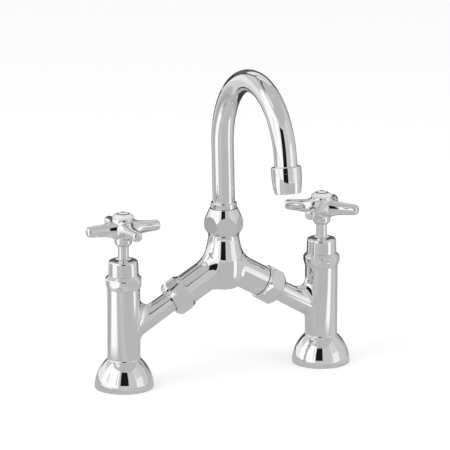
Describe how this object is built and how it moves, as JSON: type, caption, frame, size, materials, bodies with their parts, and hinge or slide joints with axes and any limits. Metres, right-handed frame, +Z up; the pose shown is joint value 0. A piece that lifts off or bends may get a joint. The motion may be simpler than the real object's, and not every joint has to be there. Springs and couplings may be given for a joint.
{
  "type": "bridge kitchen faucet",
  "caption": "Bridge kitchen faucet with pillar taps, cross handles that turn and rise, a Y-shaped bridge and a swivelling swan-neck spout with an aerator.",
  "frame": {"origin": "on the worktop, midway between the axes of the two taps", "axes": "+Z up along the taps and the spout's swivel; +X from the hot tap to the cold tap; the spout points to -Y at rest"},
  "size_m": [0.2367, 0.1645, 0.2683],
  "materials": {
    "chrome": "polished plate on brass",
    "brass": "machined",
    "rubber": "matte",
    "packing": "matte",
    "steel": "bright",
    "nylon": "moulded",
    "index": "glazed white"
  },
  "bodies": {
    "faucet_body": {"bridge_body": "chrome", "spout_nut": "chrome", "spout_lower_bearing": "nylon", "spout_upper_bearing": "nylon", "hot_pillar": "chrome", "hot_base_washer": "rubber", "hot_seat": "brass", "hot_bonnet": "chrome", "hot_bonnet_o_ring": "rubber", "hot_gland_packing": "packing", "hot_gland_nut": "brass", "hot_dome_cover": "chrome", "hot_union_nut": "chrome", "hot_union_clip": "steel", "hot_union_washer": "rubber", "cold_pillar": "chrome", "cold_base_washer": "rubber", "cold_seat": "brass", "cold_bonnet": "chrome", "cold_bonnet_o_ring": "rubber", "cold_gland_packing": "packing", "cold_gland_nut": "brass", "cold_dome_cover": "chrome", "cold_union_nut": "chrome", "cold_union_clip": "steel", "cold_union_washer": "rubber"},
    "hot_valve": {"hot_jumper": "brass", "hot_valve_washer": "rubber", "hot_washer_nut": "brass"},
    "hot_control": {"hot_spindle": "chrome", "hot_handle": "chrome", "hot_handle_screw": "steel", "hot_index_disc": "index", "hot_index_o_ring": "rubber"},
    "cold_valve": {"cold_jumper": "brass", "cold_valve_washer": "rubber", "cold_washer_nut": "brass"},
    "cold_control": {"cold_spindle": "chrome", "cold_handle": "chrome", "cold_handle_screw": "steel", "cold_index_disc": "index", "cold_index_o_ring": "rubber"},
    "spout": {"spout_tube": "chrome", "spout_collar": "chrome", "spout_tail": "brass", "spout_upper_o_ring": "rubber", "spout_lower_o_ring": "rubber", "outlet_collar": "chrome", "aerator_shell": "chrome", "aerator_washer": "rubber", "aerator_insert": "nylon"}
  },
  "joints": [
    {"name": "hot_rise", "type": "slide", "parent": "faucet_body", "child": "hot_valve", "axis": [0, 0, 1], "range_m": [0, 0.005]},
    {"name": "hot_turn", "type": "hinge", "parent": "hot_valve", "child": "hot_control", "pos_m": [-0.09, 0, 0.134], "axis": [0, 0, 1], "range_deg": [0, 720.1]},
    {"name": "cold_rise", "type": "slide", "parent": "faucet_body", "child": "cold_valve", "axis": [0, 0, 1], "range_m": [0, 0.005]},
    {"name": "cold_turn", "type": "hinge", "parent": "cold_valve", "child": "cold_control", "pos_m": [0.09, 0, 0.134], "axis": [0, 0, 1], "range_deg": [0, 720.1]},
    {"name": "spout_swivel", "type": "hinge", "parent": "faucet_body", "child": "spout", "pos_m": [0, 0, 0.13], "axis": [0, 0, 1], "continuous": true}
  ],
  "couplings": [
    {"joint": "hot_turn", "follows": "hot_rise", "rad_per_m": 2513.3},
    {"joint": "cold_turn", "follows": "cold_rise", "rad_per_m": 2513.3}
  ]
}
